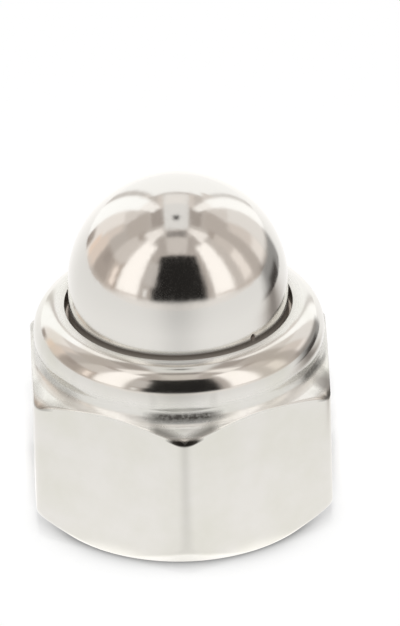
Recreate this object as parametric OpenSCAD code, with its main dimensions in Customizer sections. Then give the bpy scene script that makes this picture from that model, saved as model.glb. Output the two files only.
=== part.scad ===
// Hexagon domed cap nut with a non-metallic locking ring.
// Three pieces, fixed for good when the collar's lip is rolled over:
//   nut_body      hexagon, shoulder and round collar, with the thread's bore and a pocket above it
//   locking_ring  polyamide ring in the pocket, a little smaller than the thread, so that it grips the bolt
//   dome_cap      pressed sheet cap, whose flange lies between the ring and the collar's lip
// The origin is the centre of the bearing face. +Z points to the dome, and two flats face -X and +X.
// Sizes are in millimetres.

/* [Thread] */
// Nominal diameter of the thread
thread_d = 12; // [10:0.5:14]
// Pitch of the thread
thread_pitch = 1.75; // [1:0.25:2]
// Height of the threaded part of the body, from the bearing face to the pocket
thread_length = 9.6; // [8:0.2:12]
// Width of the countersinks past the thread's nominal radius
countersink_width = 0.5; // [0.2:0.1:1]
// Slope of the countersinks, from the bearing face
countersink_angle = 30; // [20:5:45]

/* [Hexagon] */
// Width across the flats
across_flats = 19; // [18:0.5:24]
// Radius of the six rounded upright edges
corner_radius = 1.2; // [0.4:0.1:1.6]
// Distance from the flats to the rim of the round bearing face
bearing_inset = 0.25; // [0.1:0.05:0.8]
// Slope of the chamfer around the bearing face
bearing_chamfer_angle = 45; // [30:5:60]
// Slope of the shoulder, down to the corners
shoulder_angle = 22; // [15:1:30]
// Radius of the shoulder's round rim, which cuts the hexagon's corners
rim_radius = 1; // [0.6:0.1:1.2]
// Distance from the upright edges out to the shoulder's rim
rim_margin = 0.066; // [0.02:0.002:0.1]

/* [Collar] */
// Height from the shoulder's rim to the top of the collar
collar_height = 4.11; // [3.9:0.01:4.4]
// Distance from the flats in to the collar's widest part
collar_inset = 0.17; // [0.1:0.01:0.6]
// Radius of the rolled-over rim
roll_radius = 2; // [1.8:0.1:2.2]
// Radius of the hollow between the shoulder and the rolled-over rim
foot_radius = 0.93; // [0.7:0.01:1.2]
// Thickness of the lip over the cap's flange
lip_thickness = 1.07; // [0.8:0.01:1.3]
// Gap between the lip and the cap's skirt
lip_gap = 0.3; // [0.1:0.05:0.5]

/* [Locking ring] */
// Height of the ring
ring_height = 2.5; // [1.5:0.1:3]
// How far the ring's hole is inside the thread's nominal radius
ring_grip = 0.35; // [0.1:0.05:0.6]
// Width of the chamfer at each end of the ring's hole
ring_chamfer = 0.3; // [0.1:0.05:0.5]

/* [Dome cap] */
// Thickness of the sheet
sheet_thickness = 0.7; // [0.4:0.05:0.9]
// Space between the thread's nominal radius and the inside of the skirt
skirt_clearance = 0.35; // [0.1:0.05:0.6]
// Width of the flange outside the skirt
flange_width = 0.8; // [0.6:0.05:1]
// Clearance between the flange and the wall of its pocket
flange_clearance = 0.05; // [0.02:0.01:0.15]
// Radius of the hollow bend between the skirt and the flange
bend_radius = 0.25; // [0.1:0.05:0.3]
// Height of the dome's centre above the underside of the flange
skirt_height = 3.35; // [2.5:0.05:5]

/* [Hidden] */
$fn = 96;
slack = 1;          // how far cutters run past what they cut
crossing = 5;       // small angle at which rounded surfaces cross their neighbours, so that no sliver is left

// Thread
thread_r = thread_d / 2;
minor_r = thread_r - 5 / 8 * thread_pitch * cos(30);
countersink_r = thread_r + countersink_width;
countersink_depth = (countersink_r - minor_r) * tan(countersink_angle);

// Heights of the pieces stacked in the pocket
flange_z = thread_length + ring_height;
lip_z = flange_z + sheet_thickness;
top_z = lip_z + lip_thickness;
dome_z = flange_z + skirt_height;
rim_z = top_z - collar_height;

// Radii, from the thread out to the pocket
skirt_inner_r = thread_r + skirt_clearance;
skirt_r = skirt_inner_r + sheet_thickness;
lip_r = skirt_r + lip_gap;
flange_r = skirt_r + flange_width;
pocket_r = flange_r + flange_clearance;
bend_r = min(bend_radius, lip_gap - flange_clearance);       // the bend stays clear of the lip

// Hexagon: the centre of a rounded corner, and the corner's reach
corner_centre_r = (across_flats / 2 - corner_radius * cos(crossing)) / cos(30);
corner_r = corner_centre_r + corner_radius;

// Collar: the centre of its rolled rim
roll_centre = [across_flats / 2 - collar_inset - roll_radius, top_z - roll_radius];

// Shoulder: a slope between a round rim and a hollow, which runs up to the collar's rolled rim. The slope is the
// line z = shoulder_z(r), and these two point away from it and up along it.
rim_r = corner_r + rim_margin;
function shoulder_z(r) = rim_z + (rim_r - r) * tan(shoulder_angle);
away = [sin(shoulder_angle), cos(shoulder_angle)];
uphill = [-cos(shoulder_angle), sin(shoulder_angle)];

// Centre of the rim's rounding
rim_centre = [
    rim_r - rim_radius * cos(crossing),
    shoulder_z(rim_r - rim_radius * cos(crossing)) - rim_radius * cos(crossing) / cos(shoulder_angle)
];

// Centre of the hollow: on a line beside the slope, as far from the roll's centre as both radii reach
foot_start = [rim_r, rim_z] + foot_radius * cos(crossing) * away;
foot_offset = foot_start - roll_centre;
foot_along = foot_offset * uphill;
foot_reach = roll_radius * roll_radius + foot_radius * foot_radius + 2 * roll_radius * foot_radius * cos(crossing);
foot_centre = foot_start - uphill * (foot_along + sqrt(foot_along * foot_along - foot_offset * foot_offset + foot_reach));

// Half of the body's outer section, which the hexagon is cut from
module body_section() {
    bearing_r = across_flats / 2 - bearing_inset;
    difference() {
        union() {
            polygon([
                [0, 0],
                [bearing_r, 0],
                [rim_r, (rim_r - bearing_r) * tan(bearing_chamfer_angle)],
                [rim_r, rim_centre[1]],
                rim_centre,
                rim_centre + rim_radius * cos(crossing) * away,
                foot_centre - foot_radius * cos(crossing) * away,
                foot_centre,
                roll_centre,
                [roll_centre[0], top_z],
                [0, top_z]
            ]);
            translate(rim_centre) circle(rim_radius);
            translate(roll_centre) circle(roll_radius);
        }
        translate(foot_centre) circle(foot_radius);
    }
}

// Half of the space inside the body: countersink, bore, countersink, pocket and the lip's hole
module bore_section() {
    polygon([
        [-slack, -slack],
        [countersink_r + slack / tan(countersink_angle), -slack],
        [minor_r, countersink_depth],
        [minor_r, thread_length - countersink_depth],
        [countersink_r, thread_length],
        [pocket_r, thread_length],
        [pocket_r, lip_z],
        [lip_r, lip_z],
        [lip_r, top_z + slack],
        [-slack, top_z + slack]
    ]);
}

// A hexagon by its width across the flats
module hexagon(width) {
    circle(width / 2 / cos(30), $fn = 6);
}

// The body's hexagon, with flats at -X and +X. A hexagon turned by half a side cuts its corners off, and
// circles round them.
module rounded_hexagon() {
    intersection() {
        rotate(30) hexagon(across_flats);
        union() {
            hexagon(2 * (corner_centre_r + corner_radius * cos(30)));
            for (corner = [0:5]) {
                rotate(30 + corner * 60) translate([corner_centre_r, 0]) circle(corner_radius);
            }
        }
    }
}

module nut_body() {
    color("silver")
        intersection() {
            rotate_extrude() difference() {
                body_section();
                bore_section();
            }
            translate([0, 0, -slack]) linear_extrude(top_z + 2 * slack) rounded_hexagon();
        }
}

module locking_ring() {
    ring_r = thread_r - ring_grip;
    color("ivory")
        rotate_extrude() polygon([
            [ring_r, thread_length + ring_chamfer],
            [ring_r + ring_chamfer, thread_length],
            [pocket_r, thread_length],
            [pocket_r, flange_z],
            [ring_r + ring_chamfer, flange_z],
            [ring_r, flange_z - ring_chamfer]
        ]);
}

// Half of the cap's section: the shell of the dome and skirt, the flange, and the hollow bend between them
module cap_section() {
    difference() {
        union() {
            translate([0, dome_z]) circle(skirt_r);
            translate([0, flange_z]) square([skirt_r, skirt_height]);
            translate([0, flange_z]) square([flange_r, sheet_thickness]);
            difference() {
                translate([0, lip_z]) square([skirt_r + bend_r, bend_r]);
                translate([skirt_r + bend_r, lip_z + bend_r]) circle(bend_r);
            }
        }
        translate([0, dome_z]) circle(skirt_inner_r);
        translate([-slack, flange_z - slack]) square([skirt_inner_r + slack, skirt_height + slack]);
    }
}

module dome_cap() {
    color("gainsboro")
        rotate_extrude() intersection() {
            cap_section();
            translate([0, flange_z]) square([flange_r, skirt_height + skirt_r]);
        }
}

nut_body();
locking_ring();
dome_cap();
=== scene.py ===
import math

import bpy
import numpy as np
from mathutils import Matrix, Vector


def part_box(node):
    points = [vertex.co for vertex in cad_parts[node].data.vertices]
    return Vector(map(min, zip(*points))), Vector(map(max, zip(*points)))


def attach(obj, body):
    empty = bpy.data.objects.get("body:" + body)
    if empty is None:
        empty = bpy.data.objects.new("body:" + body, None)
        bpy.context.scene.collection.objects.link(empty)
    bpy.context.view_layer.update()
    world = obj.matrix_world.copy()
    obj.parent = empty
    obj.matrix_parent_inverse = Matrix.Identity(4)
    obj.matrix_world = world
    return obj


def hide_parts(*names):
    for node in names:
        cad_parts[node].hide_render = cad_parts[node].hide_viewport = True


# Domed cap nut: the looks of its three pieces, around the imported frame.
# The script's own lengths are in millimetres, and turn into metres where a mesh or an object is made.
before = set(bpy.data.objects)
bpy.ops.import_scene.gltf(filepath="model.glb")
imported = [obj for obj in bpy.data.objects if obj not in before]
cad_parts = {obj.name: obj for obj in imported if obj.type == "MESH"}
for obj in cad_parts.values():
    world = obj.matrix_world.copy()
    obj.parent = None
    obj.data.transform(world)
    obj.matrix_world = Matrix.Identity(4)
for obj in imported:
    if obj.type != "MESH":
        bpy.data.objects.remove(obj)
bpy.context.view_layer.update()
MM = 0.001


def box_mm(node):
    """Lowest and highest corner of a CAD node, in millimetres."""
    low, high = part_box(node)
    return low / MM, high / MM


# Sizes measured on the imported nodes
BODY_HIGH = box_mm("nut_body")[1]
CAP_LOW, CAP_HIGH = box_mm("dome_cap")
RING_LOW, RING_HIGH = box_mm("locking_ring")
HALF_FLATS = BODY_HIGH.x        # centre to a flat
COLLAR_TOP = BODY_HIGH.z
POCKET_FLOOR = RING_LOW.z       # also the height of the threaded part
POCKET_R = RING_HIGH.x
RING_TOP = RING_HIGH.z
FLANGE_R = CAP_HIGH.x
FLANGE_Z = CAP_LOW.z            # underside of the cap's flange
CAP_TOP = CAP_HIGH.z

# Sizes that the boxes don't give, as in the CAD source
CORNER_R = 1.2                  # rounding of the hexagon's upright edges
BEARING_INSET = 0.25            # from the flats to the rim of the bearing face
SHOULDER_ANGLE = 22
SHOULDER_DROP = 4.11            # collar's top down to the shoulder's rim
RIM_R = 10.85                   # the shoulder's turned rim, a little outside the upright edges
RIM_ROUND = 1.0
COLLAR_INSET = 0.17
ROLL_R = 2.0
FOOT_R = 0.93                   # hollow between the shoulder and the collar's rolled rim
LIP_THICKNESS = 1.07
SHEET = 0.7
FLANGE_WIDTH = 0.8
THREAD_R = 6.0
THREAD_PITCH = 1.75
COUNTERSINK_R = 6.5
COUNTERSINK_ANGLE = 30
RING_R = 5.65
RING_CHAMFER = 0.3

# Sizes that only the looks have: two that are tighter than in the CAD model, and the slight roundings
LIP_GAP = 0.25                  # between the lip and the skirt, as the gap shows in the photograph
BEND_R = 0.15                   # hollow bend between the skirt and the flange
BEARING_EDGE_R = 0.12           # at the bearing face's rim
LOW_EDGE_R = (0.1, 0.9)         # between that face's chamfer and the flats: in their middle and at their ends
TOP_EDGE_R = (0.12, 0.48)       # between the flats and the shoulder, in the same way
LIP_EDGE_R = 0.06
CAP_EDGE_R = 0.1
RING_EDGE_R = 0.08
RING_PLAY = 0.01                # keeps the ring clear of its pocket's wall

# Sizes worked out from those
BEARING_R = HALF_FLATS - BEARING_INSET
SKIRT_R = FLANGE_R - FLANGE_WIDTH
SKIRT_INNER_R = SKIRT_R - SHEET
DOME_Z = CAP_TOP - SKIRT_R
FLANGE_TOP = FLANGE_Z + SHEET
LIP_R = SKIRT_R + LIP_GAP
LIP_Z = COLLAR_TOP - LIP_THICKNESS
MINOR_R = THREAD_R - 5 / 8 * THREAD_PITCH * math.cos(math.radians(30))
CORNER_CENTRE = (HALF_FLATS - CORNER_R) / math.cos(math.radians(30))
REACH = CORNER_CENTRE + CORNER_R
FLAT_END = math.atan2(CORNER_CENTRE / 2, HALF_FLATS)    # turn from a flat's middle to its end
ROLL_CENTRE = (HALF_FLATS - COLLAR_INSET - ROLL_R, COLLAR_TOP - ROLL_R)

# Where the camera stands, in degrees: beside -Y, above the table, and rolled
VIEW_TURN = -1.1
VIEW_HEIGHT = 30.85
VIEW_ROLL = 1.37


# ---------------------------------------------------------------- swept meshes

def line(start, end):
    """A straight stroke of a section. Its points are (radius, height)."""
    return lambda u: (start[0] + (end[0] - start[0]) * u, start[1] + (end[1] - start[1]) * u)


def arc(centre, radius, first, last):
    """A round stroke of a section, from the first angle to the last, in degrees."""
    def at(u):
        angle = np.radians(first + (last - first) * u)
        return centre[0] + radius * np.cos(angle), centre[1] + radius * np.sin(angle)
    return at


def place(stroke, u, turn, dent):
    """Points of a stroke at the turns (radians), one row for each u."""
    radius, height = stroke(u[:, None])
    shape = (len(u), len(turn))
    radius, height = np.broadcast_to(radius, shape), np.broadcast_to(height, shape)
    if dent is not None:
        radius = radius - dent(turn[None, :], height)
    return np.stack([radius * np.cos(turn), radius * np.sin(turn), height], -1)


def facing(section, index, u, turn, dent):
    """Outward directions of a stroke's surface at the same points."""
    step = 1e-4
    inner = np.clip(u, step, 1 - step)
    around = (place(section(turn + step)[index][0], inner, turn + step, dent)
              - place(section(turn - step)[index][0], inner, turn - step, dent))
    stroke = section(turn)[index][0]
    along = place(stroke, inner + step, turn, dent) - place(stroke, inner - step, turn, dent)
    out = np.cross(around, along)
    return out / np.maximum(np.linalg.norm(out, axis=-1, keepdims=True), 1e-12)


class Builder:
    """Collects vertices and faces, each face corner with its own direction."""

    def __init__(self):
        self.points, self.faces, self.directions = [], [], []

    def add_points(self, points):
        first = len(self.points)
        self.points.extend(map(tuple, points))
        return np.arange(first, first + len(points))

    def add_faces(self, corners, directions):
        """Four-cornered faces, as rows of vertex numbers; corners that coincide are dropped."""
        for numbers, vectors in zip(corners.tolist(), directions.tolist()):
            kept = [k for k in range(4) if numbers[k] != numbers[k - 1]]
            if len(kept) > 2 and len({numbers[k] for k in kept}) == len(kept):
                self.faces.append([numbers[k] for k in kept])
                self.directions.extend(vectors[k] for k in kept)

    def make(self, name):
        mesh = bpy.data.meshes.new(name)
        mesh.from_pydata([tuple(c * MM for c in p) for p in self.points], [], self.faces)
        mesh.shade_smooth()
        mesh.normals_split_custom_set(self.directions)
        piece = bpy.data.objects.new(name, mesh)
        bpy.context.scene.collection.objects.link(piece)
        return piece


def quads(numbers, vectors):
    """Corner numbers and directions of the faces between neighbouring rows and columns, round and closed."""
    right, right_vectors = np.roll(numbers, -1, 1), np.roll(vectors, -1, 1)
    corners = np.stack([numbers[:-1], right[:-1], right[1:], numbers[1:]], -1)
    directions = np.stack([vectors[:-1], right_vectors[:-1], right_vectors[1:], vectors[1:]], -2)
    return corners.reshape(-1, 4), directions.reshape(-1, 4, 3)


def sweep(builder, section, turn, dent=None, closed=True):
    """Adds the surface that a section's strokes make, turned round the Z axis. Returns the first and last
    rows of vertex numbers."""
    first = last = None
    strokes = section(turn)
    for index, (stroke, u) in enumerate(strokes):
        points = place(stroke, u, turn, dent)
        vectors = facing(section, index, u, turn, dent)
        rows = [last] if last is not None else []
        for row in points[len(rows):]:
            if np.hypot(row[:, 0], row[:, 1]).max() < 1e-6:
                rows.append(np.repeat(builder.add_points(row[:1]), len(turn)))
            else:
                rows.append(builder.add_points(row))
        if closed and index == len(strokes) - 1:
            rows[-1] = first
        numbers = np.array(rows)
        first = numbers[0] if first is None else first
        last = numbers[-1]
        builder.add_faces(*quads(numbers, vectors))
    return first, last


def steps(count):
    return np.linspace(0, 1, count + 1)


# ---------------------------------------------------------------- nut body

def hexagon_turns():
    """The body's columns: even on the flats, closer together where the upright edges are rounded."""
    half = math.degrees(FLAT_END)
    crowding = math.radians(80)
    flat = half * np.sin(np.linspace(-crowding, crowding, 33)) / math.sin(crowding)
    edge = np.linspace(half, 60 - half, 13)[:-1]
    return np.radians(np.concatenate([side * 60 + part for side in range(6) for part in (flat[:-1], edge)]))


def hexagon_reach(turn):
    """Distance from the axis to the hexagon's upright face, in the direction of each turn."""
    off = np.abs((turn + math.pi / 6) % (math.pi / 3) - math.pi / 6)
    flat = HALF_FLATS / np.cos(off)
    along = CORNER_CENTRE * np.cos(math.pi / 6 - off)
    aside = CORNER_CENTRE * np.sin(math.pi / 6 - off)
    edge = along + np.sqrt(np.maximum(CORNER_R ** 2 - aside ** 2, 0))
    return np.where(off < FLAT_END, flat, edge)


def shoulder_z(radius):
    """Height of the shoulder's cone."""
    return COLLAR_TOP - SHOULDER_DROP + (RIM_R - radius) * math.tan(math.radians(SHOULDER_ANGLE))


def foot_centre():
    """Centre of the hollow, which touches both the shoulder's cone and the rolled rim."""
    slope = math.radians(SHOULDER_ANGLE)
    up = Vector((-math.cos(slope), math.sin(slope)))
    start = Vector((RIM_R, shoulder_z(RIM_R))) + FOOT_R * Vector((math.sin(slope), math.cos(slope)))
    apart = start - Vector(ROLL_CENTRE)
    along = apart.dot(up)
    return start - up * (along + math.sqrt(along ** 2 - apart.length_squared + (ROLL_R + FOOT_R) ** 2))


def top_edge(reach, edge, rim, foot):
    """The small rounding between the upright face and the turned shoulder: the height of its centre, and the
    elevation at which it ends, in degrees. The shoulder there is its round rim, its cone or its hollow."""
    full = 90 - SHOULDER_ANGLE
    half = math.radians(full / 2)
    radius = reach - edge
    inner = RIM_ROUND - edge
    above = np.sqrt(np.maximum(inner ** 2 - np.maximum(radius - rim[0], 0) ** 2, 0))
    on_rim = np.degrees(np.arctan2(above, radius - rim[0]))
    below = np.sqrt((FOOT_R + edge) ** 2 - (foot[0] - radius) ** 2)
    on_foot = np.degrees(np.arctan2(below, foot[0] - radius))
    on_cone = shoulder_z(reach) - edge * math.tan(half)
    height = np.where(on_foot < full, foot[1] - below, np.where(on_rim < full, rim[1] + above, on_cone))
    return height, np.minimum(np.minimum(on_foot, on_rim), full), on_foot < full


def shoulder_stroke(first, in_foot, start, rim, foot):
    """The shoulder as one stroke, from the small rounding on: over the round rim, up the cone, and round the
    hollow to the rolled rim of the collar. Where in_foot is set, it starts in the hollow.
    Gives the stroke, and the angle at which the rolled rim takes over."""
    full = 90 - SHOULDER_ANGLE
    slope = math.radians(SHOULDER_ANGLE)
    end = math.degrees(math.atan2(foot[1] - ROLL_CENTRE[1], foot[0] - ROLL_CENTRE[0]))
    over = np.where(in_foot, 0, np.radians(full - first) * RIM_ROUND)
    cone_top = (foot[0] - FOOT_R * math.sin(slope), foot[1] - FOOT_R * math.cos(slope))
    cone_from = np.where(over > 0, rim[0] + RIM_ROUND * math.sin(slope), start)
    straight = np.where(in_foot, 0, (cone_from - cone_top[0]) / math.cos(slope))
    hollow = np.radians(np.where(in_foot, first, full) - end) * FOOT_R

    def at(u):
        way = u * (over + straight + hollow)
        on_rim = np.radians(first) + np.minimum(way, over) / RIM_ROUND
        down = np.clip(way - over, 0, straight)
        in_hollow = np.radians(np.where(in_foot, first, full)) - np.maximum(way - over - straight, 0) / FOOT_R
        radius = np.where(way < over, rim[0] + RIM_ROUND * np.cos(on_rim), cone_from - down * math.cos(slope))
        height = np.where(way < over, rim[1] + RIM_ROUND * np.sin(on_rim), shoulder_z(radius))
        deep = way >= over + straight
        return (np.where(deep, foot[0] - FOOT_R * np.cos(in_hollow), radius),
                np.where(deep, foot[1] - FOOT_R * np.sin(in_hollow), height))
    return at, end


def lip_rounding():
    """Centre of the small rounding between the rolled rim and the lip's hole, and the angle it starts at."""
    apart = LIP_R + LIP_EDGE_R - ROLL_CENTRE[0]
    rise = math.sqrt((ROLL_R - LIP_EDGE_R) ** 2 - apart ** 2)
    return (LIP_R + LIP_EDGE_R, ROLL_CENTRE[1] + rise), math.degrees(math.atan2(rise, apart))


def body_section(turn):
    """The body's outside, from the countersink's rim over the hexagon and the collar into the pocket."""
    reach = hexagon_reach(turn)
    corner = (reach - HALF_FLATS) / (REACH - HALF_FLATS)    # 0 in the middle of a flat, 1 at an upright edge
    base = BEARING_EDGE_R
    low = LOW_EDGE_R[0] + (LOW_EDGE_R[1] - LOW_EDGE_R[0]) * corner
    top = TOP_EDGE_R[0] + (TOP_EDGE_R[1] - TOP_EDGE_R[0]) * corner ** 2
    eighth = math.tan(math.pi / 8)                          # the edges around the chamfer turn by 45 degrees
    diagonal = math.sqrt(0.5)
    bottom_z = reach - BEARING_R
    foot = foot_centre()
    rim = (RIM_R - RIM_ROUND, shoulder_z(RIM_R) - RIM_ROUND * math.tan(math.radians(90 - SHOULDER_ANGLE) / 2))
    top_z, top_end, in_foot = top_edge(reach, top, rim, foot)
    start = reach - top + top * np.cos(np.radians(top_end))
    shoulder, inflection = shoulder_stroke(top_end, in_foot, start, rim, foot)
    lip_centre, meet = lip_rounding()
    base_end = (BEARING_R + base * eighth * diagonal, base * eighth * diagonal)
    low_start = (reach - low * eighth * diagonal, bottom_z - low * eighth * diagonal)
    low_end = (reach, bottom_z + low * eighth)
    return [
        (line((COUNTERSINK_R, 0), (BEARING_R - base * eighth, 0)), steps(2)),
        (arc((BEARING_R - base * eighth, base), base, -90, -45), steps(3)),
        (line(base_end, low_start), steps(2)),
        (arc((reach - low, low_end[1]), low, -45, 0), steps(5)),
        (line(low_end, (reach, top_z)), steps(6)),
        (arc((reach - top, top_z), top, 0, top_end), steps(8)),
        (shoulder, steps(30)),
        (arc(ROLL_CENTRE, ROLL_R, inflection, meet), steps(32)),
        (arc(lip_centre, LIP_EDGE_R, meet, 180), steps(5)),
        (line((LIP_R, lip_centre[1]), (LIP_R, LIP_Z)), steps(2)),
        (line((LIP_R, LIP_Z), (POCKET_R, LIP_Z)), steps(1)),
        (line((POCKET_R, LIP_Z), (POCKET_R, POCKET_FLOOR)), steps(2)),
        (line((POCKET_R, POCKET_FLOOR), (COUNTERSINK_R, POCKET_FLOOR)), steps(1)),
    ]


# The thread's form along one pitch, as shares of the pitch: crest, flank, root, flank
FORM_CORNERS = (1 / 8, 7 / 16, 9 / 16, 7 / 8)
FLANK_MIDDLES = (9 / 32, 23 / 32)
FORM_SOFTNESS = 0.05            # share of the pitch over which a corner is rounded
BORE_MARGIN = 0.02              # the thread's rows stop this short of the bore's ends


def form_r(share):
    """Radius of the thread at a share of its pitch, with its corners softened."""
    radii = (MINOR_R, MINOR_R, THREAD_R, THREAD_R, MINOR_R, MINOR_R)

    def hard(at):
        return np.interp(at % 1, (0, *FORM_CORNERS, 1), radii)
    offsets = (np.arange(8) + 0.5) / 8 - 0.5
    return sum(hard(share + FORM_SOFTNESS * off) for off in offsets) / 8


def bore_r(turn, height):
    """Radius of the threaded bore, with a countersink at each end."""
    slope = math.tan(math.radians(COUNTERSINK_ANGLE))
    thread = form_r(height / THREAD_PITCH - turn / (2 * math.pi))
    ends = COUNTERSINK_R - np.minimum(height, POCKET_FLOOR - height) / slope
    return np.maximum(thread, ends)


def bore_facing(turn, height):
    """Direction of the bore's surface, towards the axis."""
    step = 1e-4
    radius = bore_r(turn, height)
    by_turn = (bore_r(turn + step, height) - bore_r(turn - step, height)) / (2 * step)
    by_height = (bore_r(turn, height + step) - bore_r(turn, height - step)) / (2 * step)
    cos, sin = np.cos(turn), np.sin(turn)
    around = np.stack([by_turn * cos - radius * sin, by_turn * sin + radius * cos, 0 * turn], -1)
    along = np.stack([by_height * cos, by_height * sin, np.ones_like(turn)], -1)
    out = np.cross(along, around)
    return out / np.linalg.norm(out, axis=-1, keepdims=True)


def bore_rows():
    """Heights of the bore's rows where they start, in pitches, and how many rows a pitch has."""
    soft = FORM_SOFTNESS / 2
    shares = sorted([c + s for c in FORM_CORNERS for s in (-soft, 0, soft)] + list(FLANK_MIDDLES))
    pitches = range(-1, math.ceil(POCKET_FLOOR / THREAD_PITCH) + 1)
    return np.array([p + s for p in pitches for s in shares]), len(shares)


def add_bore(builder, turn, bottom, top):
    """The threaded bore: rows that climb with the thread, cut off at the rims of the two countersinks."""
    rows, climb = bore_rows()
    wide = np.append(turn, turn[0] + 2 * math.pi)
    height = (rows[:, None] + wide[None, :] / (2 * math.pi)) * THREAD_PITCH
    inside = (height > BORE_MARGIN) & (height < POCKET_FLOOR - BORE_MARGIN)
    numbers = np.where(height > POCKET_FLOOR / 2, np.append(top, top[0]), np.append(bottom, bottom[0]))
    for column in range(len(turn)):
        kept = np.flatnonzero(inside[:, column])
        z = height[kept, column]
        radius = bore_r(np.full_like(z, turn[column]), z)
        points = np.stack([radius * math.cos(turn[column]), radius * math.sin(turn[column]), z], -1)
        numbers[kept, column] = builder.add_points(points)
    numbers[:-climb, -1] = numbers[climb:, 0]
    numbers, height = numbers[:-climb], np.clip(height[:-climb], 0, POCKET_FLOOR)
    corners = np.stack([numbers[:-1, :-1], numbers[1:, :-1], numbers[1:, 1:], numbers[:-1, 1:]], -1)
    across = np.broadcast_to(wide, height.shape)
    at = [np.stack([g[:-1, :-1], g[1:, :-1], g[1:, 1:], g[:-1, 1:]], -1) for g in (across, height)]
    inwards = 0.15      # directions are taken a little inside each face, so an edge's two sides stay apart
    at = [g + inwards * (g.mean(-1, keepdims=True) - g) for g in at]
    builder.add_faces(corners.reshape(-1, 4), bore_facing(*at).reshape(-1, 4, 3))


def make_body():
    builder, turn = Builder(), hexagon_turns()
    bottom, top = sweep(builder, body_section, turn, closed=False)
    add_bore(builder, turn, bottom, top)
    return builder.make("nut_body_steel")


# ---------------------------------------------------------------- cap and ring

# The small dent low on the skirt: its direction and height, and its depth and reach to both sides
NICK_TURN = math.radians(VIEW_TURN + 42 - 90)
NICK_Z = COLLAR_TOP + 0.33
NICK_DEPTH = 0.10
NICK_REACH = (0.13, 0.17)


def skirt_nick(turn, height):
    """Depth of a small dent in the skirt, just above the collar's lip."""
    aside = ((turn - NICK_TURN + math.pi) % (2 * math.pi) - math.pi) * SKIRT_R
    near = np.exp(-(aside / NICK_REACH[0]) ** 2 - ((height - NICK_Z) / NICK_REACH[1]) ** 2)
    return NICK_DEPTH * near * (height > FLANGE_TOP)


def cap_section(turn):
    """The pressed cap: inside of the dome, down the skirt, round the flange, and up the outside."""
    edge = CAP_EDGE_R
    bend = (SKIRT_R + BEND_R, FLANGE_TOP + BEND_R)
    low, high = FLANGE_Z + edge, FLANGE_TOP - edge
    nick = (NICK_Z - 0.35, NICK_Z + 0.4)        # the finer rows around the nick
    return [
        (arc((0, DOME_Z), SKIRT_INNER_R, 90, 0), steps(24)),
        (line((SKIRT_INNER_R, DOME_Z), (SKIRT_INNER_R, low)), steps(3)),
        (arc((SKIRT_INNER_R + edge, low), edge, 180, 270), steps(4)),
        (line((SKIRT_INNER_R + edge, FLANGE_Z), (FLANGE_R - edge, FLANGE_Z)), steps(1)),
        (arc((FLANGE_R - edge, low), edge, -90, 0), steps(4)),
        (line((FLANGE_R, low), (FLANGE_R, high)), steps(1)),
        (arc((FLANGE_R - edge, high), edge, 0, 90), steps(4)),
        (line((FLANGE_R - edge, FLANGE_TOP), (bend[0], FLANGE_TOP)), steps(1)),
        (arc(bend, BEND_R, 270, 180), steps(5)),
        (line((SKIRT_R, bend[1]), (SKIRT_R, nick[0])), steps(2)),
        (line((SKIRT_R, nick[0]), (SKIRT_R, nick[1])), steps(14)),
        (line((SKIRT_R, nick[1]), (SKIRT_R, DOME_Z)), steps(3)),
        (arc((0, DOME_Z), SKIRT_R, 0, 90), steps(48)),
    ]


def make_cap():
    builder = Builder()
    even = np.radians(np.arange(0, 360, 2.0))
    close = NICK_TURN % (2 * math.pi) + np.radians(np.linspace(-3, 3, 15))
    turn = np.sort(np.concatenate([even[(even < close[0] - 0.01) | (even > close[-1] + 0.01)], close]))
    sweep(builder, cap_section, turn, skirt_nick, closed=False)
    return builder.make("dome_cap_steel")


def ring_section(turn):
    """The locking ring: up its outside, in over its top, and down its hole with a chamfer at each end."""
    edge = RING_EDGE_R
    outer, inner = POCKET_R - RING_PLAY, RING_R
    return [
        (arc((outer - edge, POCKET_FLOOR + edge), edge, -90, 0), steps(3)),
        (line((outer, POCKET_FLOOR + edge), (outer, RING_TOP - edge)), steps(1)),
        (arc((outer - edge, RING_TOP - edge), edge, 0, 90), steps(3)),
        (line((outer - edge, RING_TOP), (inner + RING_CHAMFER, RING_TOP)), steps(1)),
        (line((inner + RING_CHAMFER, RING_TOP), (inner, RING_TOP - RING_CHAMFER)), steps(2)),
        (line((inner, RING_TOP - RING_CHAMFER), (inner, POCKET_FLOOR + RING_CHAMFER)), steps(2)),
        (line((inner, POCKET_FLOOR + RING_CHAMFER), (inner + RING_CHAMFER, POCKET_FLOOR)), steps(2)),
        (line((inner + RING_CHAMFER, POCKET_FLOOR), (outer - edge, POCKET_FLOOR)), steps(1)),
    ]


def make_ring():
    builder = Builder()
    sweep(builder, ring_section, np.radians(np.arange(0, 360, 2.5)))
    return builder.make("locking_ring_polyamide")


# ---------------------------------------------------------------- materials

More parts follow.
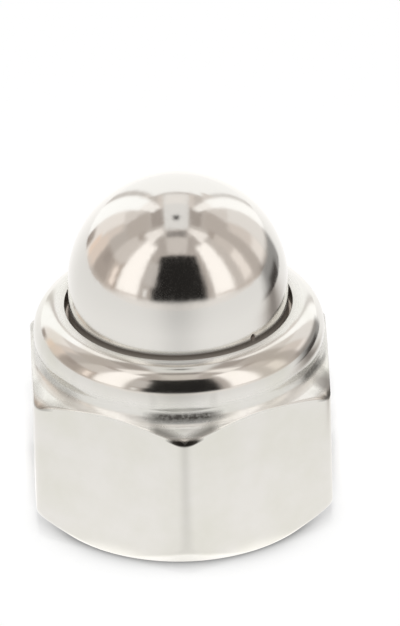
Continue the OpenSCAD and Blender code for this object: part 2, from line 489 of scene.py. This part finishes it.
class Nodes:
    """A short way to write a node tree."""

    def __init__(self, name, world=False):
        self.owner = bpy.data.worlds.new(name) if world else bpy.data.materials.new(name)
        self.owner.use_nodes = True
        self.tree = self.owner.node_tree
        self.tree.nodes.clear()

    def node(self, kind, inputs=None, **settings):
        made = self.tree.nodes.new("ShaderNode" + kind)
        for key, value in settings.items():
            setattr(made, key, value)
        for key, value in (inputs or {}).items():
            self.feed(made.inputs[key], value)
        return made

    def feed(self, socket, value):
        if isinstance(value, bpy.types.NodeSocket):
            self.tree.links.new(value, socket)
        else:
            socket.default_value = value

    def math(self, operation, *values):
        made = self.node("Math", operation=operation)
        for socket, value in zip(made.inputs, values):
            self.feed(socket, value)
        return made.outputs[0]

    def product(self, first, *others):
        for other in others:
            first = self.math("MULTIPLY", first, other)
        return first

    def remap(self, value, low, high, to_low=0, to_high=1):
        return self.node("MapRange", {0: value, 1: low, 2: high, 3: to_low, 4: to_high}).outputs[0]

    def band(self, value, rise, fall):
        """1 between two ramps. Each is the pair of values where it starts and ends."""
        return self.product(self.remap(value, *rise), self.remap(value, *fall, 1, 0))

    def mix(self, share, one, other):
        """A colour that goes from one to the other as share goes from 0 to 1."""
        return self.node("Mix", {0: share, 6: one, 7: other}, data_type="RGBA").outputs[2]

    def distance(self, at, point=(0, 0, 0)):
        return self.node("VectorMath", {0: at, 1: point}, operation="DISTANCE").outputs["Value"]

    def stretch(self, at, factors):
        return self.node("VectorMath", {0: at, 1: factors}, operation="MULTIPLY").outputs[0]

    def place_mm(self):
        """Where a point of the object lies, in millimetres."""
        return self.stretch(self.node("TexCoord").outputs["Object"], (1 / MM,) * 3)

    def noise(self, at, scale, detail=2.0, rough=0.5):
        inputs = {"Vector": at, "Scale": scale, "Detail": detail, "Roughness": rough}
        return self.node("TexNoise", inputs).outputs["Fac"]

    def finish(self, surface, kind="OutputMaterial"):
        """Links the surface to the tree's output, and gives the finished material or world."""
        self.tree.links.new(surface.outputs[0], self.node(kind).inputs[0])
        return self.owner


def steel(name, roughness, marks):
    """Polished stainless steel. marks gives a surface's own colour, roughness, share of metal and height."""
    nodes = Nodes(name)
    colour, rough, metal, height = marks(nodes, nodes.place_mm(), roughness)
    bump = nodes.node("Bump", {"Height": height, "Strength": 1.0, "Distance": MM}).outputs[0]
    return nodes.finish(nodes.node("BsdfPrincipled", {
        "Base Color": colour, "Metallic": metal, "Roughness": rough, "Normal": bump}))


def radius_height(nodes, at):
    """Distance from the axis, and height."""
    split = nodes.node("SeparateXYZ", {0: at}).outputs
    squares = [nodes.product(split[k], split[k]) for k in (0, 1)]
    return nodes.math("SQRT", nodes.math("ADD", *squares)), split[2]


def turn_from_front(nodes, at):
    """Turn around the axis in degrees, from the direction that faces the camera."""
    split = nodes.node("SeparateXYZ", {0: at}).outputs
    turn = nodes.math("ARCTAN2", split[1], split[0])
    return nodes.math("SUBTRACT", nodes.math("DEGREES", turn), VIEW_TURN - 90)


# The painted shade's share at the front edge and at the right one: turns where a ramp starts and ends, and
# its shares
PAINTED_SHADE_FRONT = ((-40, -30, 0.35, 1), (30, 40, 1, 0))
PAINTED_SHADE_RIGHT = ((56, 61, 0, 0.8), (80, 90, 1, 0.45))


# Mask of the painted shade in the neck, along the shoulder's edge and at its corners
def near_corner(nodes, at, full, clear):
    """1 up to so many degrees from the hexagon's upright edges, and 0 from so many on. That is in full at the
    front edge, nearly so behind the right one, and less or nothing elsewhere."""
    seen = turn_from_front(nodes, at)
    from_edge = nodes.math("RADIANS", nodes.math("ADD", seen, VIEW_TURN))
    wave = nodes.math("COSINE", nodes.product(from_edge, 6))
    corner = nodes.remap(wave, *(math.cos(math.radians(6 * angle)) for angle in (full, clear)), 1, 0)
    front, right = (nodes.product(*(nodes.remap(seen, *ramp) for ramp in ramps))
                    for ramps in (PAINTED_SHADE_FRONT, PAINTED_SHADE_RIGHT))
    return nodes.product(corner, nodes.math("MAXIMUM", front, right))


def below_flats(nodes, at):
    """Depth under the planes of the upright faces."""
    reach = 0
    for turn in (0, 60, 120):
        outward = (math.cos(math.radians(turn)), math.sin(math.radians(turn)), 0)
        along = nodes.node("VectorMath", {0: at, 1: outward}, operation="DOT_PRODUCT").outputs["Value"]
        reach = nodes.math("MAXIMUM", reach, nodes.math("ABSOLUTE", along))
    return nodes.math("SUBTRACT", HALF_FLATS, reach)


def above_cone(nodes, radius, high):
    """Height above the shoulder's cone, as if it went on inwards and outwards."""
    drop = nodes.product(radius, math.tan(math.radians(SHOULDER_ANGLE)))
    return nodes.math("SUBTRACT", nodes.math("ADD", high, drop), shoulder_z(0))


# Colours, and shares of metal
STEEL = (0.78, 0.77, 0.735, 1)
WORN_STEEL = (0.735, 0.73, 0.67, 1)
TURNED_METAL = 0.65             # on the shoulder
LIP_METAL = 0.5
GAP_METAL = 0.3
# Painted shade: darker colours in the neck, along the shoulder's edge, at its corners, on the lip's inside,
# in the gap and at the nick
NECK_PAINTED_SHADE = (0.09, 0.084, 0.075, 1)
RIM_PAINTED_SHADE = (0.14, 0.13, 0.115, 1)
TIP_PAINTED_SHADE = (0.05, 0.046, 0.04, 1)
LIP_PAINTED_SHADE = (0.15, 0.13, 0.105, 1)
GAP_PAINTED_SHADE = ((0.15, 0.13, 0.11, 1), (0.62, 0.55, 0.48, 1))      # painted shade: above the lip, and paler down in the gap
NICK_PAINTED_SHADE = (0.15, 0.12, 0.10, 1)
DARK_SPOT_COLOUR = (0.2, 0.18, 0.165, 1)
POLYAMIDE = ((0.84, 0.83, 0.76, 1), (0.88, 0.87, 0.82, 1))

# Roughnesses. The polished ones are the middle of a range.
BODY_ROUGHNESS = 0.12
CAP_ROUGHNESS = 0.11
TURNED_ROUGHNESS = (0.15, 0.26)
LIP_ROUGHNESS = 0.4
# roughness of the painted shade and of the darker spot
DARK_MARK_ROUGHNESS = 0.45

# Heights where the painted shade in the neck and at the shoulder's corners comes and goes, and the darker
# spot's place
NECK_BAND = ((10.43, 10.68), (10.92, 11.17))
TIP_BAND = ((9.0, 9.15), (9.75, 9.95))
DARK_SPOT_R = 10.1
DARK_SPOT_TURN = math.radians(VIEW_TURN + 65.5 - 90)


def darkened(nodes, share, darker_colour, base, rough):
    """A steel's colour and roughness, with the given darker colour where share is 1: painted shade, or the
    darker spot.
    """
    return (nodes.mix(share, base, darker_colour),
            nodes.node("Mix", {0: share, 2: rough, 3: DARK_MARK_ROUGHNESS}).outputs[0])


def neck_painted_shade(nodes, at, high):
    """Painted shade, in specks, in the hollow's lower part, over the corners."""
    specks = nodes.remap(nodes.noise(at, 3.5, 4.0, 0.7), 0.4, 0.55, 0.7, 1.0)
    return nodes.product(nodes.band(high, *NECK_BAND), near_corner(nodes, at, 9, 17), specks)


def tip_painted_shade(nodes, at, high, above, below):
    """Painted shade at the shoulder's lowest corners."""
    edge = nodes.product(nodes.remap(below, 0.2, 0.36, 1, 0), nodes.remap(above, -0.35, -0.25))
    return nodes.product(edge, near_corner(nodes, at, 4, 7), nodes.band(high, *TIP_BAND))


def shoulder_shade_and_spot(nodes, at, high, above, shoulder, colour, rough):
    """Adds painted shade in the neck, along the shoulder's edge and at its corners, and a darker spot on the
    shoulder.
    """
    colour, rough = darkened(nodes, neck_painted_shade(nodes, at, high), NECK_PAINTED_SHADE, colour, rough)
    below = below_flats(nodes, at)
    # painted shade along the shoulder's edge, near the upright edges
    rim = nodes.product(nodes.remap(below, 0.25, 0.75, 0.7, 0), shoulder, near_corner(nodes, at, 10, 14))
    colour, rough = darkened(nodes, rim, RIM_PAINTED_SHADE, colour, rough)
    colour, rough = darkened(nodes, tip_painted_shade(nodes, at, high, above, below), TIP_PAINTED_SHADE, colour, rough)
    # a darker spot on the shoulder
    dark_spot = (DARK_SPOT_R * math.cos(DARK_SPOT_TURN), DARK_SPOT_R * math.sin(DARK_SPOT_TURN), shoulder_z(DARK_SPOT_R))
    share = nodes.remap(nodes.distance(at, dark_spot), 0.4, 1.0, 0.6, 0)
    return darkened(nodes, share, DARK_SPOT_COLOUR, colour, rough)


def body_marks(nodes, at, roughness):
    """Faint cloudy wear on the hexagon, a slight waviness all over, a shoulder and hollow that the polishing
    wheel doesn't reach, a dull lip, painted shade on the shoulder and on the lip's inside, and a darker spot
    on the shoulder."""
    radius, high = radius_height(nodes, at)
    cloud = nodes.noise(at, 0.35, 3.0)
    rough = nodes.remap(cloud, 0.3, 0.7, roughness * 0.8, roughness * 1.3)
    colour = nodes.mix(nodes.remap(cloud, 0.35, 0.75), STEEL, WORN_STEEL)
    above = above_cone(nodes, radius, high)
    shoulder = nodes.product(nodes.remap(above, -0.12, -0.04), nodes.remap(radius, 10.3, 10.55, 1, 0))
    turned = nodes.product(shoulder, nodes.remap(high, 11.5, 12.0, 1, 0))
    streaks = nodes.noise(nodes.stretch(at, (3.0, 3.0, 0.6)), 1.0, 3.0)
    dull = nodes.remap(streaks, 0.3, 0.7, *TURNED_ROUGHNESS)
    rough = nodes.math("MAXIMUM", rough, nodes.product(turned, dull))
    colour, rough = shoulder_shade_and_spot(nodes, at, high, above, shoulder, colour, rough)
    edge = nodes.product(nodes.remap(radius, LIP_R + 0.2, LIP_R + 0.7, 1, 0),
                         nodes.remap(high, LIP_Z + 0.5, LIP_Z + 0.6))
    rough = nodes.math("MAXIMUM", rough, nodes.product(edge, LIP_ROUGHNESS))
    # painted shade on the lip's inside, in the gap
    lip = nodes.product(nodes.remap(radius, LIP_R + 0.01, LIP_R + 0.04, 1, 0),
                        nodes.remap(high, LIP_Z - 0.1, LIP_Z))
    colour, rough = darkened(nodes, lip, LIP_PAINTED_SHADE, colour, rough)
    grain, wave = nodes.noise(at, 3.0, 3.0, 0.6), nodes.noise(at, 0.8, 1.0)
    height = nodes.math("ADD", nodes.product(grain, 0.0008), nodes.product(wave, 0.004))
    metal = nodes.math("MINIMUM", nodes.remap(edge, 0, 0.8, 1, LIP_METAL),
                       nodes.remap(turned, 0, 1, 1, TURNED_METAL))
    return colour, rough, metal, height


def cap_marks(nodes, at, roughness):
    """Faint upright draw lines on the skirt and dome, a slight waviness, painted shade in the gap and in the
    nick.
    """
    drawn = nodes.noise(nodes.stretch(at, (4.0, 4.0, 0.25)), 1.0, 2.0)
    rough = nodes.remap(drawn, 0.3, 0.7, roughness * 0.8, roughness * 1.25)
    high = radius_height(nodes, at)[1]
    # painted shade in the gap above the lip, rougher and less metal
    gap = nodes.remap(high, COLLAR_TOP + 0.18, COLLAR_TOP + 0.42, 1, 0)
    deeper = nodes.remap(high, COLLAR_TOP - 0.2, COLLAR_TOP + 0.12, 1, 0)
    colour, rough = darkened(nodes, gap, nodes.mix(deeper, *GAP_PAINTED_SHADE), STEEL, rough)
    nick = (SKIRT_R * math.cos(NICK_TURN), SKIRT_R * math.sin(NICK_TURN), NICK_Z)
    # painted shade round the nick
    share = nodes.remap(nodes.distance(at, nick), 0.12, 0.28, 1, 0)
    colour, rough = darkened(nodes, share, NICK_PAINTED_SHADE, colour, rough)
    wave = nodes.noise(at, 0.8, 2.0)
    height = nodes.math("ADD", nodes.product(drawn, 0.0014), nodes.product(wave, 0.006))
    return colour, rough, nodes.remap(gap, 0, 1, 1, GAP_METAL), height


def polyamide():
    """Milky polyamide, a little see-through and faintly mottled."""
    nodes = Nodes("ring_polyamide")
    mottle = nodes.noise(nodes.place_mm(), 1.2, 3.0)
    colour = nodes.mix(mottle, *POLYAMIDE)
    bump = nodes.node("Bump", {"Height": nodes.product(mottle, 0.01), "Distance": MM}).outputs[0]
    return nodes.finish(nodes.node("BsdfPrincipled", {
        "Base Color": colour, "Roughness": nodes.remap(mottle, 0.3, 0.7, 0.38, 0.5), "Normal": bump,
        "Subsurface Weight": 0.3, "Subsurface Radius": (1.2 * MM, 1.1 * MM, 0.9 * MM),
        "Subsurface Scale": 1.0}))


# ---------------------------------------------------------------- studio

# Panels of the light tent, as seen from the nut: extent across, extent along, width of the soft border,
# brightness, and warmth. A later panel covers an earlier one. On the walls the extents are azimuth from the
# camera's own, to the right, and elevation, both in degrees.
WALL = (0.60, 0.12)
WALLS = [
    # behind
    ((152, 208), (-8, 62), 3, 0.93, 0.04), ((154, 206), (-8, 43), 3, 1.14, 0.01),
    ((154, 206), (43.5, 46.5), 2, 0.76, 0.05), ((-160, -154), (-8, 52), 4, 0.66, 0.08),
    ((149, 155), (-8, 52), 4, 0.76, 0.05),
    # left side
    ((-138, -119), (-8, 62), 5, 0.80, 0.10), ((-138, -119), (-8, 40), 7, 0.95, 0.08),
    ((-137, -127), (-6, 8), 5, 0.36, 0.20),
    ((-119, -108), (-6, 40), 6, 0.74, 0.16), ((-124, -117), (2, 17), 5, 0.80, 0.30),
    ((-117, -105), (3, 25), 6, 0.76, 0.22), ((-108, -90), (26, 60), 7, 0.54, 0.13),
    ((-105, -83), (2, 26), 6, 0.43, 0.19), ((-100, -90), (15, 25), 5, 0.38, 0.19),
    ((-90, -70), (26, 60), 6, 0.69, 0.12), ((-87, -78), (54, 62), 5, 0.46, 0.15),
    ((-83, -70), (-2, 26), 5, 0.56, 0.20), ((-79, -73.5), (6, 23), 3, 0.97, 0.18),
    ((-73, -68.5), (5, 30), 3, 0.40, 0.25),
    # right side
    ((62, 75), (-6, 60), 5, 0.62, 0.13), ((75, 90), (-6, 60), 5, 0.66, 0.14),
    ((76, 88), (7, 33), 5, 0.94, 0.12), ((89, 104), (-6, 60), 6, 0.52, 0.15),
    ((104, 120), (17, 42), 6, 0.72, 0.14), ((104, 119), (-6, 18), 6, 0.94, 0.10),
    ((118, 137), (-6, 45), 6, 0.90, 0.06),
]
# On the ceiling they are slopes from the upright: how far aside, alike on both sides, and how far in front.
CEILING = [
    ((-1, 0.66), (-1.0, 0.63), 0.06, 0.60, 0.12), ((0.44, 1), (-1.3, -0.48), 0.08, 0.76, 0.10),
    ((0.44, 1), (-0.45, 0.0), 0.08, 0.52, 0.15), ((0.19, 0.28), (-0.95, -0.44), 0.05, 0.72, 0.13),
    ((-1, 0.19), (-0.95, 0.07), 0.05, 0.88, 0.03), ((-1, 0.17), (-0.90, -0.55), 0.12, 0.95, 0.06),
    ((0.20, 0.41), (-0.44, -0.02), 0.06, 0.40, 0.16), ((0.55, 0.72), (-0.02, 0.17), 0.07, 0.44, 0.18),
    ((-1, 0.05), (-0.225, -0.115), 0.06, 0.08, 0.05), ((0.19, 0.56), (0.22, 0.62), 0.06, 0.47, 0.14),
    ((-1, 0.19), (0.25, 0.61), 0.06, 0.67, 0.11), ((-1, 0.17), (0.11, 0.24), 0.06, 0.29, 0.12),
]
# In front of those, again in degrees: two white cloths that hang from the ceiling, a softbox on each side of
# the camera with its other end on the ceiling, and the surround of the opening that the camera looks through.
FRONT = [
    ((-154, -137), (-8, 62), 5, 1.12, 0.05), ((-154, -137), (-8, 47), 5, 1.25, 0.0),
    ((137, 150), (-8, 64), 5, 1.12, 0.05), ((137, 150), (-8, 47), 5, 1.25, 0.01),
    ((-84, -56), (60, 77), 5, 1.02, 0.08), ((55, 80), (60, 77), 5, 1.04, 0.08),
    ((-69, -42), (4, 61), 6, 1.22, 0.07), ((38, 63), (4, 60), 6, 1.21, 0.07),
    ((-43, 39), (4, 56), 6, 0.50, 0.14),
]
BESIDE_OPENING = [((-40, -26), (21, 45), 5, 0.60, 0.10), ((-38, -34), (9, 17), 2, 0.95, 0.05)]
OPENING = (-29, 31, 7)          # azimuths, and width of the soft border
OPENING_TOP = (0.66, 0.06)      # slope of the ceiling at its upper edge, and border
OPENING_TONE = (0.02, 0.10)
APRON_HEIGHT = 8.5              # elevation of the white apron's border, straight in front
APRON_LEVEL = (0.90, 0.20, 20)  # brightness, how much less it is in the middle, and over how many degrees
APRON_WARMTH = 0.06
JOINT = (40, 112, 8)            # azimuths of the dark joint above the apron, to both sides, and border
JOINT_TONE = (0.52, 0.20)
JOINT_SHARE = 0.8
TENT_R = 900                    # in millimetres
TENT_FOOT = -6                  # elevation of the tent's lower border

# The dark card, in millimetres: how far it stands to the right of the nut, and then, of the whole card and of
# its core, the extents to the back and up with their soft borders, and the cover
CARD_ASIDE = 48
CARD = ((3, 46, 13), (-9, 20, 8), 0.66)
CARD_CORE = ((11, 30, 9), (-9, 9.5, 6), 0.97)
CARD_TONE = (0.04, 0.2)


def soft_band(value, low, high, border):
    """1 between low and high, falling smoothly to 0 across the border's width at each end."""
    def ramp(x):
        x = np.clip(x / border + 0.5, 0, 1)
        return x * x * (3 - 2 * x)
    return ramp(value - low) * ramp(high - value)


WARM = np.array((0.75, -0.05, -0.55))   # what warmth adds to red, green and blue


def tone(level, warmth):
    """A brightness and a warmth as a colour."""
    level, warmth = (x[..., None] for x in np.broadcast_arrays(level, warmth))
    return level * (1 + WARM * warmth)


def blend(colour, share, other):
    """The colour, with the other one where share is 1."""
    return colour + share[..., None] * (other - colour)


def paint(colour, across, along, panels):
    """Lays panels over a colour, in the order given."""
    for (left, right), (low, high), border, level, warmth in panels:
        middle = (left + right) / 2
        near = (across - middle + 180) % 360 - 180 + middle
        share = soft_band(near, left, right, border) * soft_band(along, low, high, border)
        colour = blend(colour, share, tone(level, warmth))
    return colour


def tent_tones(azimuth, elevation):
    """Brightness of the tent's inside, in the directions given in degrees."""
    colour = np.broadcast_to(tone(*WALL), azimuth.shape + (3,))
    colour = paint(colour, azimuth, elevation, WALLS)
    slope = 1 / np.tan(np.radians(np.clip(elevation, 2, 89.9)))
    aside, front = np.abs(slope * np.sin(np.radians(azimuth))), slope * np.cos(np.radians(azimuth))
    colour = paint(colour, aside, front, CEILING)
    colour = paint(colour, azimuth, elevation, FRONT)
    share = soft_band(azimuth, *OPENING) * soft_band(front, OPENING_TOP[0], np.inf, OPENING_TOP[1])
    colour = blend(colour, share, tone(*OPENING_TONE))
    colour = paint(colour, azimuth, elevation, BESIDE_OPENING)
    edge = APRON_HEIGHT * np.cos(np.radians(azimuth))
    joint = soft_band(elevation - edge, 0.5, 2.5, 2) * soft_band(np.abs(azimuth), *JOINT)
    colour = blend(colour, JOINT_SHARE * joint, tone(*JOINT_TONE))
    share = soft_band(elevation, -90, edge - 1, 6) * (np.abs(azimuth) < 95)
    level, less, width = APRON_LEVEL
    return blend(colour, share, tone(level - less * np.exp(-(azimuth / width) ** 2), APRON_WARMTH))


def coloured_grid(name, points, tones, alpha, material):
    """An object from a grid of points (millimetres), with a colour and an alpha at each of them."""
    rows, wide = points.shape[:2]
    first = (np.arange(rows - 1)[:, None] * wide + np.arange(wide - 1)).ravel()
    faces = np.stack([first, first + wide, first + wide + 1, first + 1], -1)
    mesh = bpy.data.meshes.new(name)
    mesh.from_pydata((points * MM).reshape(-1, 3).tolist(), [], faces.tolist())
    colours = np.concatenate([tones, np.broadcast_to(alpha, tones.shape[:2])[..., None]], -1)
    mesh.color_attributes.new("tone", "FLOAT_COLOR", "POINT").data.foreach_set("color", colours.ravel())
    made = bpy.data.objects.new(name, mesh)
    bpy.context.scene.collection.objects.link(made)
    made.data.materials.append(material)
    return made


def card(name, points, tones, cover=1.0):
    """A sheet that only metal sees, as it glows with its own tones. cover is 0 where it is clear."""
    made = coloured_grid(name, points, tones, cover, card_cloth(name))
    made.visible_camera = made.visible_diffuse = made.visible_shadow = False
    made.visible_transmission = made.visible_volume_scatter = False


def card_cloth(name):
    """Glows with the sheet's tones, and is clear where their alpha is 0."""
    nodes = Nodes(name)
    colour = nodes.node("VertexColor", layer_name="tone").outputs
    glow = nodes.node("Emission", {"Color": colour["Color"], "Strength": 1.0}).outputs[0]
    clear = nodes.node("BsdfTransparent").outputs[0]
    nodes.owner.cycles.emission_sampling = "NONE"
    return nodes.finish(nodes.node("MixShader", {0: colour["Alpha"], 1: clear, 2: glow}))


def seen_turn(azimuth):
    """The world's direction, in radians from +X, of an azimuth seen from the camera's own."""
    return np.radians(azimuth + VIEW_TURN - 90)


def make_tent():
    azimuth, elevation = np.meshgrid(np.arange(-180, 181, 1.0), np.arange(TENT_FOOT, 90.1, 1.0))
    turn, rise = seen_turn(azimuth), np.radians(elevation)
    outward = np.stack([np.cos(turn) * np.cos(rise), np.sin(turn) * np.cos(rise), np.sin(rise)], -1)
    card("light_tent", TENT_R * outward + (0, 0, DOME_Z), tent_tones(azimuth, elevation))


def make_dark_card():
    """A painted reflection of something dark beside the table, out of the camera's view, and of what
    surrounds it.
    """
    away, height = np.meshgrid(np.arange(-10, 64.1, 1), np.arange(0, 30.1, 1))
    turn = math.radians(VIEW_TURN)
    x = CARD_ASIDE * math.cos(turn) - away * math.sin(turn)
    y = CARD_ASIDE * math.sin(turn) + away * math.cos(turn)
    cover = CARD[2] * soft_band(away, *CARD[0]) * soft_band(height, *CARD[1])
    core = soft_band(away, *CARD_CORE[0]) * soft_band(height, *CARD_CORE[1])
    cover = cover + core * (CARD_CORE[2] - cover)
    level, warmth = CARD_TONE
    card("dark_card", np.stack([x, y, height], -1), tone(level + 0 * away, warmth), cover)


FILL = 0.1                      # share of the light that comes from all round
LAMPS = ((48, 0.35), (67, 0.25), (86, 0.3))     # elevations, and shares of the light
LAMP_WIDTH = 10                 # apparent width of a lamp, in degrees
FLOOR_Z = -0.02                 # just under the bearing face, in millimetres
FLOOR_RINGS = (0, 5, 9, 9.6, 10, 10.4, 10.8, 11.2, 12, 13, 16, 20, 22, 24, 26, 28, 30, 33, 36, 40, 45, 50,
               56, 65, 80, 130, 250, 450, 850)
FLOOR_GLOW = 0.04               # share of the floor's white that shadows don't reach
FRONT_GLOW = 0.75               # the same in front of the nut and beside its corners at the left and right
MIRRORED_GLOW = 0.85            # the same in reflections
CONTACT_SHADE = (0.64, 0.16)    # painted contact shadow, how much less white the table is at the bearing face's rim: in front, behind
CONTACT_ALONG = (-6, -2)        # places along Y, in millimetres, where the one ends and the other begins
CONTACT_WIDTH = 0.7             # distance over which most of that shade fades, in millimetres


def floor_tones(x, y):
    """Painted: how pale the table looks in reflections, at points (millimetres): less so in front, more so
    behind.
    """
    turn = math.radians(VIEW_TURN)
    right, front = x * math.cos(turn) + y * math.sin(turn), x * math.sin(turn) - y * math.cos(turn)
    distance, azimuth = np.hypot(x, y), np.degrees(np.arctan2(right, front))
    far = 1 - np.exp(-np.maximum(distance - 14, 0) / 30)
    wedge = np.exp(-(np.degrees(np.arctan2(right, front - 6)) / 22) ** 2)       # painted shade, widening towards the camera
    behind = soft_band(np.abs(azimuth), 145, 200, 60)
    close = soft_band(distance, -1, 10.4, 1.4)                                  # painted light under the nut
    streak = -front - 9 - 0.2 * np.maximum(right - 30, 0)                       # painted shade, as if cast by the dark card
    shade = soft_band(right, 22, 60, 8) * np.exp(-(streak / 9) ** 2)
    level = 1.0 - 0.10 * far - (0.12 + 0.10 * far) * wedge + 0.30 * far * behind + 0.28 * close
    return tone(level * (1 - 0.72 * shade), 0.02 + 0.1 * shade)


def floor_glow(x, y):
    """Share of the floor's white, at points (millimetres), that shadows don't reach."""
    azimuth = np.degrees(np.arctan2(y, x)) - VIEW_TURN + 90
    past = np.maximum(np.abs((azimuth + 180) % 360 - 180) - 78, 0) / 24
    return FLOOR_GLOW + (FRONT_GLOW - FLOOR_GLOW) * np.exp(-past ** 2)


def make_floor():
    turn = np.radians(np.arange(0, 360.1, 4))
    rings = np.array(FLOOR_RINGS)[:, None]
    x, y = rings * np.cos(turn), rings * np.sin(turn)
    points = np.stack([x, y, np.full_like(x, FLOOR_Z)], -1)
    floor = coloured_grid("floor", points, floor_tones(x, y), floor_glow(x, y), floor_material())


def contact_white(nodes):
    """How white the table is close to the bearing face's rim: a painted contact shadow, by distance from the
    rim.
    """
    at = nodes.place_mm()
    beside = nodes.math("SUBTRACT", nodes.distance(at), BEARING_R)
    fall = nodes.math("MINIMUM", nodes.math("EXPONENT", nodes.math("DIVIDE", beside, -CONTACT_WIDTH)), 1)
    back = nodes.node("SeparateXYZ", {0: at}).outputs[1]
    share = nodes.remap(back, *CONTACT_ALONG, *CONTACT_SHADE)
    return nodes.math("SUBTRACT", 1, nodes.product(fall, share))


def floor_material():
    """White table that keeps the nut's shadow, and a painted contact shadow at the bearing face's rim.
    Reflections see its shading and its painted tones, and it is clear from below.
    """
    nodes = Nodes("floor_white")
    path = nodes.node("LightPath").outputs
    tones = nodes.node("VertexColor", layer_name="tone").outputs
    direct = nodes.math("MAXIMUM", path["Is Camera Ray"], path["Is Transmission Ray"])
    seen = nodes.math("MAXIMUM", contact_white(nodes), nodes.math("SUBTRACT", 1, direct))
    white = nodes.mix(path["Is Glossy Ray"], seen, tones["Color"])
    mirrored = nodes.product(path["Is Glossy Ray"], nodes.math("LESS_THAN", path["Diffuse Depth"], 0.5))
    share = nodes.math("ADD", nodes.product(direct, tones["Alpha"]), nodes.product(mirrored, MIRRORED_GLOW))
    matt = nodes.node("BsdfDiffuse", {"Color": nodes.mix(share, white, (0, 0, 0, 1))}).outputs[0]
    glow = nodes.node("Emission", {"Color": white, "Strength": share}).outputs[0]
    both = nodes.node("AddShader", {0: matt, 1: glow}).outputs[0]
    clear = nodes.node("BsdfTransparent").outputs[0]
    below = nodes.node("NewGeometry").outputs["Backfacing"]
    nodes.owner.cycles.emission_sampling = "NONE"
    return nodes.finish(nodes.node("MixShader", {0: below, 1: both, 2: clear}))


def make_lamps():
    """Soft lamps in a row above the camera. Metal doesn't mirror them: what metal mirrors is the tent."""
    turn = math.radians(VIEW_TURN)
    for number, (height, share) in enumerate(LAMPS):
        rise = math.radians(height)
        data = bpy.data.lights.new(f"lamp_{number}", "SUN")
        data.angle = math.radians(LAMP_WIDTH)
        data.energy = math.pi * share / math.sin(rise)
        lamp = bpy.data.objects.new(data.name, data)
        towards = Vector((math.sin(turn) * math.cos(rise), -math.cos(turn) * math.cos(rise), math.sin(rise)))
        lamp.rotation_euler = towards.to_track_quat("Z", "Y").to_euler()
        lamp.visible_glossy = False
        bpy.context.scene.collection.objects.link(lamp)


def make_world():
    """Weak light from all round, and a white background."""
    nodes = Nodes("studio", world=True)
    path = nodes.node("LightPath").outputs
    seen = nodes.math("MAXIMUM", path["Is Camera Ray"], path["Is Glossy Ray"])
    seen = nodes.math("MAXIMUM", seen, path["Is Transmission Ray"])
    glow = nodes.node("Background", {"Color": (1, 1, 1, 1), "Strength": nodes.remap(seen, 0, 1, FILL, 1)})
    bpy.context.scene.world = nodes.finish(glow, "OutputWorld")


CAMERA_DISTANCE = 1200          # these three in millimetres
CAMERA_FRAME = 40.31            # height of the picture, at the nut
CAMERA_AIM = (1.1011, 11.165)   # the picture's centre from the origin, to the right and up in the picture


def make_camera():
    """A long lens, nearly parallel, rolled a little as in the photograph."""
    turn, height, roll = (math.radians(x) for x in (VIEW_TURN, VIEW_HEIGHT, VIEW_ROLL))
    back = Vector((math.sin(turn) * math.cos(height), -math.cos(turn) * math.cos(height), math.sin(height)))
    level = Vector((math.cos(turn), math.sin(turn), 0))
    upright = back.cross(level)
    right = math.cos(roll) * level - math.sin(roll) * upright
    up = math.sin(roll) * level + math.cos(roll) * upright
    data = bpy.data.cameras.new("camera")
    data.sensor_width = 36
    data.lens = data.sensor_width * CAMERA_DISTANCE / CAMERA_FRAME
    data.clip_start, data.clip_end = 0.1, 10        # in metres
    camera = bpy.data.objects.new("camera", data)
    camera.matrix_world = Matrix((right, up, back)).transposed().to_4x4()
    camera.location = (right * CAMERA_AIM[0] + up * CAMERA_AIM[1] + back * CAMERA_DISTANCE) * MM
    bpy.context.scene.collection.objects.link(camera)
    bpy.context.scene.camera = camera


# ---------------------------------------------------------------- put together

def finish_piece(piece, node, material):
    """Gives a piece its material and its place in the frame."""
    piece.data.materials.append(material)
    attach(piece, "root")
    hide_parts(node)


finish_piece(make_body(), "nut_body", steel("body_steel", BODY_ROUGHNESS, body_marks))
finish_piece(make_ring(), "locking_ring", polyamide())
finish_piece(make_cap(), "dome_cap", steel("cap_steel", CAP_ROUGHNESS, cap_marks))
make_tent()
make_dark_card()
make_floor()
make_lamps()
make_world()
make_camera()
bpy.context.scene.view_settings.view_transform = "Standard"
